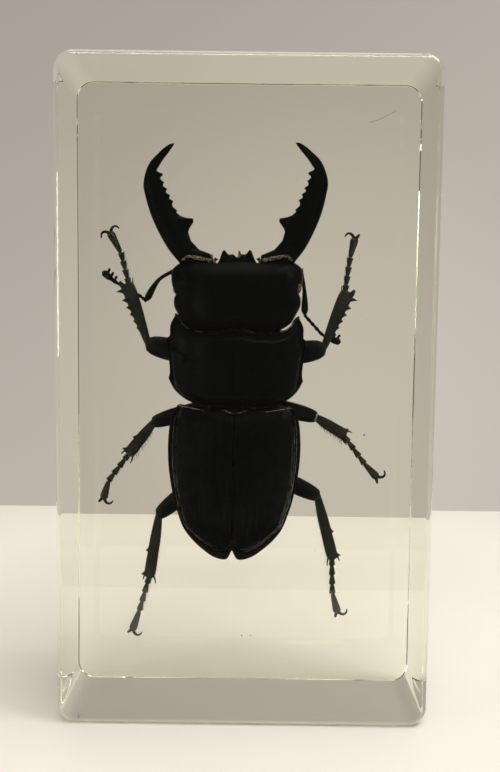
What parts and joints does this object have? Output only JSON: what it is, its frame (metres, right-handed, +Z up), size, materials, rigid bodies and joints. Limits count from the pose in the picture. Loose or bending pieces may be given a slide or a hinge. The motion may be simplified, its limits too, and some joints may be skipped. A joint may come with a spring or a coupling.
{
  "type": "stag beetle specimen in a clear resin block",
  "caption": "Clear cast block with a black stag beetle sealed inside, back outwards and jaws open; it stands on its narrow foot as a desk specimen.",
  "frame": {"origin": "middle of the block's foot, on the surface that it stands on", "axes": "+Z up along the block's long side, +Y through its thickness away from the beetle's back, +X to the right of a viewer who faces the beetle's back"},
  "size_m": [0.062, 0.03, 0.11],
  "materials": {
    "clear_resin": "polished clear casting resin with a faint warm tint",
    "black_cuticle": "satin black insect shell with fine pits",
    "limb_cuticle": "glossy black-brown leg shell",
    "underside_cuticle": "dark brown underside with pale membrane at the joints"
  },
  "bodies": {
    "root": {"resin_block_front": "clear_resin", "resin_block_back": "clear_resin", "head": "black_cuticle", "mandible_left": "black_cuticle", "mandible_right": "black_cuticle", "pronotum": "black_cuticle", "elytron_left": "black_cuticle", "elytron_right": "black_cuticle", "hind_body": "underside_cuticle", "antenna_left": "limb_cuticle", "antenna_right": "limb_cuticle", "leg_front_left": "limb_cuticle", "leg_front_right": "limb_cuticle", "leg_middle_left": "limb_cuticle", "leg_middle_right": "limb_cuticle", "leg_hind_left": "limb_cuticle", "leg_hind_right": "limb_cuticle"}
  },
  "joints": []
}
